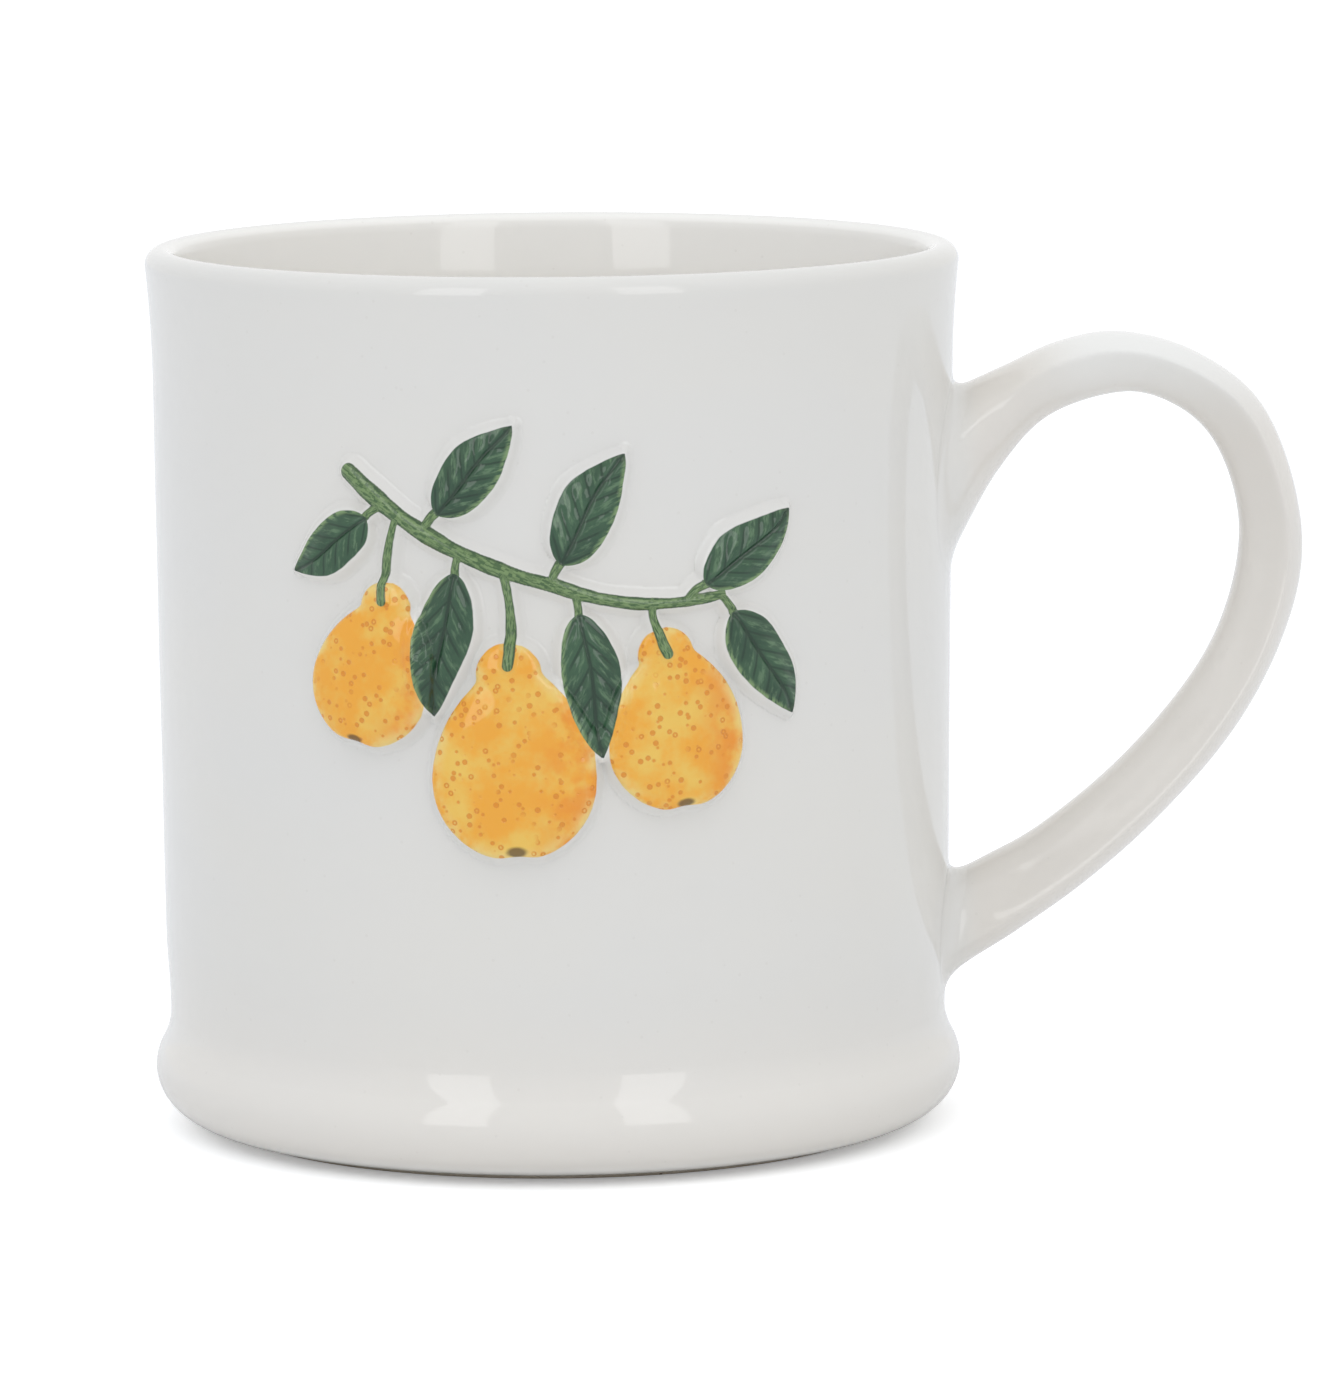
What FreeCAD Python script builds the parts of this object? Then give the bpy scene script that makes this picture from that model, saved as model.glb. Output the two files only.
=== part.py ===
# A glazed stoneware mug: a turned cup with a swelled base band, a bare foot
# ring, a looped strap handle joined with slip, and a raised sprig of pears.
# Millimetres, +Z up, origin on the mug's axis in the plane it stands on.
# The handle points along +X and the sprig faces -Y.
import FreeCAD
import Part
import Sketcher
import math
import os

V = FreeCAD.Vector

# Places in a sketch: the ends and the centre of an edge, the two axes and the origin
START, END, CENTRE = range(1, 4)
X_AXIS, Y_AXIS = range(-1, -3, -1)
ORIGIN = X_AXIS

# Cup, foot ring, handle joints and relief. What is on the wall is placed from half height.
SIZES = {
    "height": 93.5,
    "rim_diameter": 86.0,
    "lip_thickness": 3.5,
    "mouth_land": 14.0,
    "flare_drop": 13.0,
    "flare_growth": 0.65,
    "waist_inset": 1.4,
    "waist_height": 11.8,
    "band_swell": 1.4,
    "band_round": 5.6,
    "glaze_edge": 0.6,
    "floor_height": 6.0,
    "inside_taper": 2.0,
    "inside_corner": 9.0,
    "foot_inset": 7.0,
    "foot_width": 3.5,
    "foot_height": 1.9,
    "foot_bevel": 0.4,
    "slip_swell": 2.0,
    "slip_wrap": 0.7,
    "slip_sink": 1.0,
    "leaf_relief": 1.3,
    "leaf_over_relief": 2.7,
    "branch_relief": 1.1,
    "pear_relief": 2.1,
    "pear_waist": 1.1,
    "dome_spread": 1.25,
    "dome_depth": 4.0,
    "press_depth": 4.0,
    "leaf_draft": 30.0,
    "stem_draft": 8.0,
}

# Handle stations from the upper root round to the lower one. Each gives the
# outer and the inner edge, as the distance out from the rim's radius and up
# from half height, and the strap's width. The first and last are in the wall.
HANDLE = [
    ("root_above", -5.5, 29.55, -5.5, 6.25, 24.0),
    ("neck_above", 0.3, 31.55, -0.4, 13.55, 18.2),
    ("shoulder", 4.6, 33.65, 4.0, 22.45, 13.4),
    ("rise", 10.6, 36.25, 9.4, 28.35, 11.6),
    ("crown", 17.3, 37.25, 17.3, 30.75, 11.2),
    ("turn_out", 25.0, 35.25, 22.6, 29.45, 11.2),
    ("turn_down", 32.2, 29.45, 27.0, 25.35, 11.2),
    ("reach", 36.6, 16.25, 29.7, 16.25, 11.2),
    ("turn_in", 34.4, 4.05, 27.7, 6.45, 11.4),
    ("return", 26.7, -8.75, 20.9, -4.15, 11.8),
    ("heel", 13.5, -21.55, 8.5, -15.45, 12.4),
    ("ankle", 6.5, -26.55, 2.6, -18.55, 12.9),
    ("neck_below", 0.8, -30.15, -1.4, -19.95, 14.2),
    ("root_below", -6.0, -34.55, -6.0, -19.75, 18.0),
]

# Leaves: foot of the leaf (across, up), direction of its tip in degrees from
# upright (clockwise is negative), length, and how far each side bellies out.
LEAVES = [
    ("leaf_top_left", -11.1, 22.75, -38.0, 12.0, 2.6, 3.2),
    ("leaf_top", 1.2, 17.75, -28.0, 13.0, 3.4, 2.8),
    ("leaf_top_right", 15.7, 15.25, -52.0, 12.0, 2.7, 3.4),
    ("leaf_right", 18.6, 12.35, -148.0, 13.0, 3.4, 2.7),
    ("leaf_middle", 2.9, 12.75, -171.0, 15.0, 3.2, 2.8),
    ("leaf_inner_left", -9.3, 16.85, 171.0, 15.0, 2.6, 3.2),
    ("leaf_left", -18.5, 22.25, 125.0, 10.5, 3.0, 2.4),
]

# Pears: middle of the belly (across, up), lean in degrees from upright,
# belly radius, neck radius and the distance between the two.
PEARS = [
    ("pear_large", -3.6, -4.35, 2.0, 8.2, 3.3, 11.0),
    ("pear_right", 12.6, -0.75, 7.0, 7.0, 2.9, 9.2),
    ("pear_left", -18.4, 5.05, -14.0, 6.4, 2.7, 8.4),
]

# Stems: both ends (across, up), how far the middle bows to the left of the
# way from the first end to the second, and the width.
STEMS = [
    ("bough", -20.4, 26.85, 0.6, 15.65, -1.6, 1.9),
    ("bough_end", 0.6, 15.65, 17.4, 14.25, -1.3, 1.6),
    ("stalk_large", -4.6, 17.25, -4.0, 8.65, 0.5, 1.2),
    ("stalk_right", 10.2, 13.85, 11.2, 10.25, -0.3, 1.2),
    ("stalk_left", -15.2, 22.85, -16.4, 14.85, -0.5, 1.2),
]

# These leaves lie over the fruit, so they stand prouder of the wall.
LEAVES_OVER_FRUIT = ("leaf_middle", "leaf_inner_left")

# Radii of the cup and its foot, all worked out inwards from the rim
RADII = {
    "rim_radius": "=rim_diameter / 2",
    "flare_radius": "=rim_radius - flare_growth",
    "mouth_radius": "=rim_radius - lip_thickness",
    "inside_radius": "=mouth_radius - inside_taper",
    "waist_radius": "=rim_radius - waist_inset",
    "band_radius": "=waist_radius + band_swell",
    "foot_radius": "=band_radius - foot_inset",
}

doc = FreeCAD.newDocument("mug")
sheet = doc.addObject("Spreadsheet::Sheet", "sizes")


def fill_sheet():
    """Put every driving dimension in a cell with an alias."""
    cells = dict(SIZES)
    for table, columns in (
        (HANDLE, ("outer_out", "outer_up", "inner_out", "inner_up", "width")),
        (LEAVES, ("across", "up", "turn", "length", "left", "right")),
        (PEARS, ("across", "up", "lean", "belly", "neck", "span")),
        (STEMS, ("from_across", "from_up", "to_across", "to_up", "bow", "width")),
    ):
        for name, *values in table:
            for column, value in zip(columns, values):
                cells[name + "_" + column] = value
    cells.update(RADII)
    for row, (alias, value) in enumerate(cells.items(), start=1):
        sheet.set("A%d" % row, alias)
        sheet.set("B%d" % row, str(value))
        sheet.setAlias("B%d" % row, alias)
    doc.recompute()


def size(alias):
    """The value of one cell of the sheet."""
    return float(sheet.get(alias))


def sketch_on(body, name, role):
    """A sketch attached to one of its own body's origin planes."""
    sketch = body.newObject("Sketcher::SketchObject", name)
    plane = next(f for f in body.Origin.OriginFeatures if f.Role == role)
    sketch.AttachmentSupport = [(plane, "")]
    sketch.MapMode = "FlatFace"
    return sketch


def bind(sketch, name, formula, kind, *where):
    """Add a dimension to a sketch and tie it to the sheet."""
    sketch.addConstraint(Sketcher.Constraint(kind, *where))
    sketch.renameConstraint(sketch.ConstraintCount - 1, name)
    sketch.setExpression("Constraints." + name, formula)


def tie(sketch, kind, *where):
    """Add a geometric constraint to a sketch."""
    sketch.addConstraint(Sketcher.Constraint(kind, *where))


def line(r1, z1, r2, z2):
    """A straight edge of a profile."""
    return Part.LineSegment(V(r1, z1, 0), V(r2, z2, 0))


def arc(r, z, radius, start_deg, end_deg):
    """A round edge of a profile, counter-clockwise."""
    circle = Part.Circle(V(r, z, 0), V(0, 0, 1), radius)
    return Part.ArcOfCircle(circle, math.radians(start_deg), math.radians(end_deg))


def turn_round(body, sketch, name):
    """A full turn of a profile about the mug's axis."""
    turned = body.newObject("PartDesign::Revolution", name)
    turned.Profile = sketch
    turned.ReferenceAxis = (sketch, ["V_Axis"])
    turned.Angle = 360


def make_cup():
    """The turned cup: underside, band, waist, tapering wall, flared lip and hollow."""
    body = doc.addObject("PartDesign::Body", "cup")
    sk = sketch_on(body, "cup_profile", "XZ_Plane")
    rim, mouth, waist, band, foot, bottom, flare_r = (
        size(place + "_radius") for place in ("rim", "mouth", "waist", "band", "foot", "inside", "flare"))
    top, waist_z, flare_z = size("height"), size("waist_height"), size("height") - size("flare_drop")
    rnd, edge, under = size("band_round"), size("glaze_edge"), size("foot_height")
    floor, corner, lip = size("floor_height"), size("inside_corner"), size("lip_thickness") / 2
    swell, rise = band - waist, waist_z - edge - rnd
    cove = (rise ** 2 + swell ** 2) / (2 * swell) - rnd
    cove_turn = math.degrees(math.asin(rise / (rnd + cove)))
    lean = math.degrees(math.atan2(flare_r - waist, flare_z - waist_z))
    flare_up = top - lip - flare_z
    bend = 2 * (math.degrees(math.atan2(rim - flare_r, flare_up)) - lean)
    flare = math.hypot(rim - flare_r, flare_up) / (2 * math.sin(math.radians(bend / 2)))
    flare_x = flare_r + flare * math.cos(math.radians(lean))
    flare_y = flare_z - flare * math.sin(math.radians(lean))
    outline = {
        "under": line(0, under, foot, under),
        "step": line(foot, under, foot, edge),
        "edge": line(foot, edge, band - rnd, edge),
        "band": arc(band - rnd, edge + rnd, rnd, -90, cove_turn),
        "cove": arc(waist + cove, waist_z, cove, 180, 180 + cove_turn),
        "wall": line(waist, waist_z, flare_r, flare_z),
        "flare": arc(flare_x, flare_y, flare, 180 - lean - bend, 180 - lean),
        "lip": arc(rim - lip, top - lip, lip, -lean - bend, 180),
        "land": line(mouth, top - lip, mouth, top - size("mouth_land")),
        "inner": line(mouth, top - size("mouth_land"), bottom, floor + corner),
        "corner": arc(bottom - corner, floor + corner, corner, -90, 0),
        "floor": line(bottom - corner, floor, 0, floor),
        "axis": line(0, floor, 0, under),
    }
    edges = {name: sk.addGeometry(shape, False) for name, shape in outline.items()}
    joints = [
        ("under", END, "step", START, "Coincident"),
        ("step", END, "edge", START, "Coincident"),
        ("edge", END, "band", START, "Tangent"),
        ("band", END, "cove", END, "Tangent"),
        ("cove", START, "wall", START, "Tangent"),
        ("wall", END, "flare", END, "Tangent"),
        ("flare", START, "lip", START, "Tangent"),
        ("lip", END, "land", START, "Tangent"),
        ("land", END, "inner", START, "Coincident"),
        ("inner", END, "corner", END, "Tangent"),
        ("corner", START, "floor", START, "Tangent"),
        ("floor", END, "axis", START, "Coincident"),
        ("axis", END, "under", START, "Coincident"),
    ]
    for first, first_end, second, second_end, kind in joints:
        tie(sk, kind, edges[first], first_end, edges[second], second_end)
    for name in ("under", "edge", "floor"):
        tie(sk, "Horizontal", edges[name])
    for name in ("step", "land"):
        tie(sk, "Vertical", edges[name])
    tie(sk, "PointOnObject", edges["axis"], START, Y_AXIS)
    tie(sk, "PointOnObject", edges["axis"], END, Y_AXIS)
    places = [
        ("DistanceY", "under", START, under, "sizes.foot_height"),
        ("DistanceX", "step", START, foot, "sizes.foot_radius"),
        ("DistanceY", "edge", START, edge, "sizes.glaze_edge"),
        ("DistanceX", "band", CENTRE, band - rnd, "sizes.band_radius - sizes.band_round"),
        ("DistanceY", "cove", CENTRE, waist_z, "sizes.waist_height"),
        ("DistanceX", "wall", START, waist, "sizes.waist_radius"),
        ("DistanceY", "wall", END, flare_z, "sizes.height - sizes.flare_drop"),
        ("DistanceX", "wall", END, flare_r, "sizes.flare_radius"),
        ("DistanceX", "lip", CENTRE, rim - lip, "sizes.rim_radius - sizes.lip_thickness / 2"),
        ("DistanceY", "lip", CENTRE, top - lip, "sizes.height - sizes.lip_thickness / 2"),
        ("DistanceX", "land", START, mouth, "sizes.mouth_radius"),
        ("DistanceY", "land", END, top - size("mouth_land"), "sizes.height - sizes.mouth_land"),
        ("DistanceX", "inner", END, bottom, "sizes.inside_radius"),
        ("DistanceY", "floor", END, floor, "sizes.floor_height"),
    ]
    for kind, name, end, value, formula in places:
        label = "%s_%d_%s" % (name, end, kind[-1])
        bind(sk, label, formula, kind, ORIGIN, START, edges[name], end, value)
    bind(sk, "band_radius", "sizes.band_round", "Radius", edges["band"], rnd)
    bind(sk, "corner_radius", "sizes.inside_corner", "Radius", edges["corner"], corner)
    turn_round(body, sk, "cup_turned")
    return body


def make_foot_ring():
    """The bare ring that the mug stands on, let into the underside of the cup."""
    body = doc.addObject("PartDesign::Body", "foot_ring")
    sk = sketch_on(body, "foot_profile", "XZ_Plane")
    outer, tall = size("foot_radius"), size("foot_height")
    inner, bevel = outer - size("foot_width"), size("foot_bevel")
    corners = [
        (inner + bevel, 0),
        (outer - bevel, 0),
        (outer, bevel),
        (outer, tall),
        (inner, tall),
        (inner, bevel),
    ]
    sides = []
    for here, there in zip(corners, corners[1:] + corners[:1]):
        sides.append(sk.addGeometry(line(*here, *there), False))
    for here, there in zip(sides, sides[1:] + sides[:1]):
        tie(sk, "Coincident", here, END, there, START)
    for side in (sides[0], sides[3]):
        tie(sk, "Horizontal", side)
    for side in (sides[2], sides[4]):
        tie(sk, "Vertical", side)
    tie(sk, "PointOnObject", sides[0], START, X_AXIS)
    bind(sk, "outer", "sizes.foot_radius", "DistanceX", ORIGIN, START, sides[2], START, outer)
    bind(sk, "inner", "sizes.foot_radius - sizes.foot_width",
         "DistanceX", ORIGIN, START, sides[4], START, inner)
    bind(sk, "tall", "sizes.foot_height", "DistanceY", ORIGIN, START, sides[3], START, tall)
    bind(sk, "bevel_out", "sizes.foot_bevel", "DistanceX", sides[1], START, sides[1], END, bevel)
    bind(sk, "bevel_up", "sizes.foot_bevel", "DistanceY", sides[1], START, sides[1], END, bevel)
    bind(sk, "bevel_in", "sizes.foot_bevel", "DistanceX", sides[5], START, sides[5], END, bevel)
    bind(sk, "bevel_rise", "sizes.foot_bevel", "DistanceY", sides[5], END, sides[5], START, bevel)
    turn_round(body, sk, "foot_turned")
    return body


def strap_section(body, station, grown=0.0):
    """One oval section of the handle, across its width, grown all round by a margin."""
    name, outer_out, outer_up, inner_out, inner_up, wide = station
    deep = math.hypot(outer_out - inner_out, outer_up - inner_up) + 2 * grown
    wide = wide + 2 * grown
    tilt = math.degrees(math.atan2(outer_up - inner_up, outer_out - inner_out))
    middle = (size("rim_diameter") + outer_out + inner_out) / 2
    cell = "sizes." + name
    sk = sketch_on(body, body.Name + "_" + name, "XY_Plane")
    level = (size("height") + outer_up + inner_up) / 2
    sk.AttachmentOffset = FreeCAD.Placement(V(middle, 0, level), FreeCAD.Rotation(V(0, -1, 0), tilt))
    offset = "AttachmentOffset."
    sk.setExpression(offset + "Base.x",
                     "(sizes.rim_diameter + {0}_outer_out + {0}_inner_out) / 2".format(cell))
    sk.setExpression(offset + "Base.z", "(sizes.height + {0}_outer_up + {0}_inner_up) / 2".format(cell))
    sk.setExpression(offset + "Rotation.Angle",
                     "atan2({0}_outer_up - {0}_inner_up; {0}_outer_out - {0}_inner_out)".format(cell))
    oval = sk.addGeometry(Part.Ellipse(V(0, wide / 2, 0), V(deep / 2, 0, 0), V(0, 0, 0)), False)
    sk.exposeInternalGeometry(oval)
    across, through = oval + 1, oval + 2
    tie(sk, "Coincident", oval, CENTRE, ORIGIN, START)
    tie(sk, "PointOnObject", across, START, Y_AXIS)
    bind(sk, "wide", "%s_width + %s" % (cell, 2 * grown), "Distance", across, wide)
    bind(sk, "deep", "sqrt(({0}_outer_out - {0}_inner_out)^2 + ({0}_outer_up - {0}_inner_up)^2) + {1}"
         .format(cell, 2 * grown), "Distance", through, deep)
    return sk


def skin_over(name, stations, growths):
    """A smooth skin over the ovals at some of the handle's stations."""
    body = doc.addObject("PartDesign::Body", name)
    sections = [strap_section(body, station, grown) for station, grown in zip(stations, growths)]
    doc.recompute()
    skin = body.newObject("PartDesign::AdditiveLoft", name + "_skin")
    skin.Profile = sections[0]
    skin.Sections = sections[1:]
    return body


def boolean(kind, name, base, tool):
    """A named boolean of two objects."""
    ob = doc.addObject("Part::" + kind, name)
    ob.Base = base
    ob.Tool = tool
    return ob


def make_filled_cup(cup):
    """The cup with its hollow closed, which trims whatever is stuck on the wall."""
    core = doc.addObject("Part::Cylinder", "core")
    core.setExpression("Radius", "(sizes.waist_radius + sizes.mouth_radius) / 2")
    core.setExpression("Placement.Base.z", "sizes.foot_height + sizes.glaze_edge")
    core.setExpression("Height", "sizes.height - sizes.foot_height - sizes.floor_height")
    return boolean("Fuse", "filled_cup", cup, core)


def make_joint(name, stations, growths, handle, filled):
    """The collar of slip round one root: it swells onto the wall and thins out on the strap."""
    collar = skin_over(name + "_collar", stations, growths)
    outside = boolean("Cut", name + "_outside", collar, filled)
    return boolean("Cut", name, outside, handle)


def relief_cone(height_alias):
    """A cone that stands the named height proud of the tapering wall."""
    cone = doc.addObject("Part::Cone", "over_" + height_alias)
    cone.setExpression("Placement.Base.z", "sizes.waist_height")
    cone.setExpression("Height", "sizes.height - sizes.flare_drop - sizes.waist_height")
    cone.setExpression("Radius1", "sizes.waist_radius + sizes." + height_alias)
    cone.setExpression("Radius2", "sizes.flare_radius + sizes." + height_alias)
    return cone


def pressed_block(name, draw, across, up, turn, draft="leaf_draft"):
    """A block with one outline, drawn in the plane that faces the wall and pressed into it.

    across, up and turn are formulas for the outline's own origin and direction,
    across measured round the wall from the front.
    """
    body = doc.addObject("PartDesign::Body", name + "_block")
    sk = sketch_on(body, name + "_outline", "XZ_Plane")
    sk.setExpression("AttachmentOffset.Base.y", "sizes.height / 2 + " + up)
    sk.setExpression("AttachmentOffset.Base.z", "sizes.rim_radius + sizes.pear_relief")
    sk.setExpression("AttachmentOffset.Rotation.Angle", turn)
    draw(sk)
    pad = body.newObject("PartDesign::Pad", name + "_pressed")
    pad.Profile = sk
    pad.Reversed = True
    pad.setExpression("TaperAngle", "sizes." + draft)
    pad.setExpression("Length", "sizes.pear_relief + sizes.press_depth")
    body.setExpression("Placement.Rotation.Angle", "(%s) / sizes.waist_radius * 180 / pi" % across)
    return body


def leaf_block(name, length, left, right):
    """A pointed leaf: two arcs from its foot to its tip."""
    half = length / 2

    def draw(sk):
        arcs = []
        for side, belly, mark in (("left", left, 1), ("right", right, -1)):
            radius = (half ** 2 + belly ** 2) / (2 * belly)
            spread = math.degrees(math.asin(half / radius))
            facing = 180 if mark > 0 else 0
            bow = arc(mark * (radius - belly), 0, radius, facing - spread, facing + spread)
            arcs.append(sk.addGeometry(bow, False))
            formula = "((sizes.{0}_length / 2)^2 + sizes.{0}_{1}^2) / (2 * sizes.{0}_{1})"
            bind(sk, side, formula.format(name, side), "Radius", arcs[-1], radius)
        tie(sk, "Coincident", arcs[0], START, arcs[1], END)
        tie(sk, "Coincident", arcs[0], END, arcs[1], START)
        for end in (START, END):
            tie(sk, "PointOnObject", arcs[0], end, Y_AXIS)
        bind(sk, "tip", "sizes.%s_length / 2" % name, "DistanceY", ORIGIN, START, arcs[0], START, half)
        bind(sk, "foot", "sizes.%s_length / 2" % name, "DistanceY", arcs[0], END, ORIGIN, START, half)

    cell = "sizes." + name
    return pressed_block(
        name, draw,
        "{0}_across - {0}_length / 2 * sin({0}_turn)".format(cell),
        "{0}_up + {0}_length / 2 * cos({0}_turn)".format(cell),
        cell + "_turn")


def pear_block(name, belly, neck, span):
    """A pear: a belly circle and a neck circle joined by two hollow flanks."""
    flank = belly * size("pear_waist")
    flank_y = ((belly + flank) ** 2 - (neck + flank) ** 2 + span ** 2) / (2 * span)
    flank_x = math.sqrt((belly + flank) ** 2 - flank_y ** 2)
    low = math.degrees(math.atan2(flank_y, flank_x))
    high = math.degrees(math.atan2(flank_y - span, flank_x))

    def draw(sk):
        round_belly = sk.addGeometry(arc(0, 0, belly, 180 - low, 360 + low), False)
        right = sk.addGeometry(arc(flank_x, flank_y, flank, 180 + high, 180 + low), False)
        round_neck = sk.addGeometry(arc(0, span, neck, high, 180 - high), False)
        left = sk.addGeometry(arc(-flank_x, flank_y, flank, 360 - low, 360 - high), False)
        tie(sk, "Tangent", round_belly, END, right, END)
        tie(sk, "Tangent", right, START, round_neck, START)
        tie(sk, "Tangent", round_neck, END, left, END)
        tie(sk, "Tangent", left, START, round_belly, START)
        tie(sk, "Coincident", round_belly, CENTRE, ORIGIN, START)
        tie(sk, "PointOnObject", round_neck, CENTRE, Y_AXIS)
        cell = "sizes." + name
        bind(sk, "span", cell + "_span", "DistanceY", ORIGIN, START, round_neck, CENTRE, span)
        bind(sk, "belly", cell + "_belly", "Radius", round_belly, belly)
        bind(sk, "neck", cell + "_neck", "Radius", round_neck, neck)
        for side, edge in (("right", right), ("left", left)):
            bind(sk, side, cell + "_belly * sizes.pear_waist", "Radius", edge, flank)

    cell = "sizes." + name
    return pressed_block(name, draw, cell + "_across", cell + "_up", cell + "_lean")


def stem_block(name, from_across, from_up, to_across, to_up, bow, wide):
    """A stem: a curved slot with round ends from one place to another."""
    length = math.hypot(to_across - from_across, to_up - from_up)
    radius = ((length / 2) ** 2 + bow ** 2) / (2 * abs(bow))
    spread = math.degrees(math.asin(length / 2 / radius))
    centre_y = bow - math.copysign(radius, bow)
    facing = 90 if bow > 0 else 270
    cell = "sizes." + name
    reach = "sqrt(({0}_to_across - {0}_from_across)^2 + ({0}_to_up - {0}_from_up)^2) / 2".format(cell)

    def draw(sk):
        low, high = facing - spread, facing + spread
        side = 1 if bow > 0 else -1
        inner = sk.addGeometry(arc(0, centre_y, radius - wide / 2, low, high), False)
        outer = sk.addGeometry(arc(0, centre_y, radius + wide / 2, low, high), False)
        first = sk.addGeometry(arc(side * length / 2, 0, wide / 2, low - 180, low), False)
        last = sk.addGeometry(arc(-side * length / 2, 0, wide / 2, high, high + 180), False)
        tie(sk, "Tangent", outer, START, first, END)
        tie(sk, "Tangent", outer, END, last, START)
        tie(sk, "Tangent", inner, START, first, START)
        tie(sk, "Tangent", inner, END, last, END)
        tie(sk, "Coincident", inner, CENTRE, outer, CENTRE)
        for cap in (first, last):
            tie(sk, "PointOnObject", cap, CENTRE, X_AXIS)
        for cap, mark, label in ((first, side, "first"), (last, -side, "last")):
            ends = (ORIGIN, START, cap, CENTRE) if mark > 0 else (cap, CENTRE, ORIGIN, START)
            bind(sk, label, reach, "DistanceX", *ends, length / 2)
        bind(sk, "wide", cell + "_width / 2", "Radius", first, wide / 2)
        curve = "(({0})^2 + {1}_bow^2) / (2 * abs({1}_bow)) + {1}_width / 2".format(reach, cell)
        bind(sk, "bow", curve, "Radius", outer, radius + wide / 2)

    return pressed_block(
        name, draw,
        "({0}_from_across + {0}_to_across) / 2".format(cell),
        "({0}_from_up + {0}_to_up) / 2".format(cell),
        "atan2({0}_to_up - {0}_from_up; {0}_to_across - {0}_from_across)".format(cell),
        "stem_draft")


def pear_dome(name, across, up, lean, belly, neck, span):
    """The domed skin of a pear: a flattened egg sunk in the wall."""
    dome = doc.addObject("Part::Ellipsoid", name + "_dome")
    cell = "sizes." + name
    dome.Angle1, dome.Angle2, dome.Angle3 = -90, 90, 360
    dome.setExpression("Radius1", "({0}_belly + {0}_neck + {0}_span) / 2 * sizes.dome_spread".format(cell))
    dome.setExpression("Radius2", cell + "_belly * sizes.dome_spread")
    dome.setExpression("Radius3", "sizes.dome_depth")
    along = (neck + span - belly) / 2
    facing = FreeCAD.Rotation(V(0, 0, 1), math.degrees(across / size("waist_radius")))
    tilt = FreeCAD.Rotation(V(0, -1, 0), lean)
    wall = (size("waist_radius") + size("flare_radius")) / 2
    sunk = size("dome_depth") - size("pear_relief") - wall
    centre = tilt.multVec(V(0, 0, along)) + V(0, sunk, size("height") / 2 + up)
    dome.Placement = FreeCAD.Placement(facing.multVec(centre), facing.multiply(tilt))
    return dome


def fuse_all(name, parts):
    """One named union of several objects."""
    ob = doc.addObject("Part::MultiFuse", name)
    ob.Shapes = parts
    return ob


def make_sprig(filled):
    """The raised sprig: branch on top, then leaves, then pears, each fitted round the last."""
    over_leaf = relief_cone("leaf_relief")
    over_fruit = relief_cone("leaf_over_relief")
    over_branch = relief_cone("branch_relief")
    stems = fuse_all("stems", [stem_block(*row) for row in STEMS])
    branch = boolean("Common", "branch_lid", stems, over_branch)
    pieces = [boolean("Cut", "branch", branch, filled)]
    blocks = []
    for name, across, up, turn, length, left, right in LEAVES:
        block = leaf_block(name, length, left, right)
        blocks.append(block)
        cover = over_fruit if name in LEAVES_OVER_FRUIT else over_leaf
        lid = boolean("Common", name + "_lid", block, cover)
        clear = boolean("Cut", name + "_clear", lid, stems)
        pieces.append(boolean("Cut", name, clear, filled))
    leaves = fuse_all("leaf_blocks", blocks)
    for name, across, up, lean, belly, neck, span in PEARS:
        block = pear_block(name, belly, neck, span)
        lid = boolean("Common", name + "_lid", block, pear_dome(name, across, up, lean, belly, neck, span))
        under_leaves = boolean("Cut", name + "_under_leaves", lid, leaves)
        clear = boolean("Cut", name + "_clear", under_leaves, stems)
        pieces.append(boolean("Cut", name, clear, filled))
    return pieces


def check_document():
    """Stop if anything failed, before any file is written."""
    for ob in doc.Objects:
        if "Invalid" in ob.State or "Error" in ob.State:
            raise RuntimeError("%s: %s" % (ob.Name, ob.State))
        if ob.TypeId == "Sketcher::SketchObject" and not ob.FullyConstrained:
            raise RuntimeError(ob.Name + " isn't fully constrained")


def write_pieces(pieces):
    """One STEP file for each piece, named after its label."""
    os.makedirs("parts", exist_ok=True)
    for piece in pieces:
        shape = piece.Shape
        if shape.isNull() or not shape.isValid() or len(shape.Solids) != 1:
            raise RuntimeError(piece.Label + " isn't one valid solid")
        shape.exportStep("parts/%s.step" % piece.Label)
        print("%-20s %9.1f mm3" % (piece.Label, shape.Volume))


fill_sheet()
cup = make_cup()
foot_ring = make_foot_ring()
strap = skin_over("strap", HANDLE, [0.0] * len(HANDLE))
filled = make_filled_cup(cup)
handle = boolean("Cut", "handle", strap, filled)
swell, wrap, sink = size("slip_swell"), size("slip_wrap"), -size("slip_sink")
pieces = [
    cup,
    foot_ring,
    handle,
    make_joint("handle_joint_upper", HANDLE[:3], (swell, wrap, sink), handle, filled),
    make_joint("handle_joint_lower", HANDLE[-3:], (sink, wrap, swell), handle, filled),
]
pieces += make_sprig(filled)
doc.recompute()
check_document()
write_pieces(pieces)
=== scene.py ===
import math

import bpy
import numpy as np
from mathutils import Matrix, Vector


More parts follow.
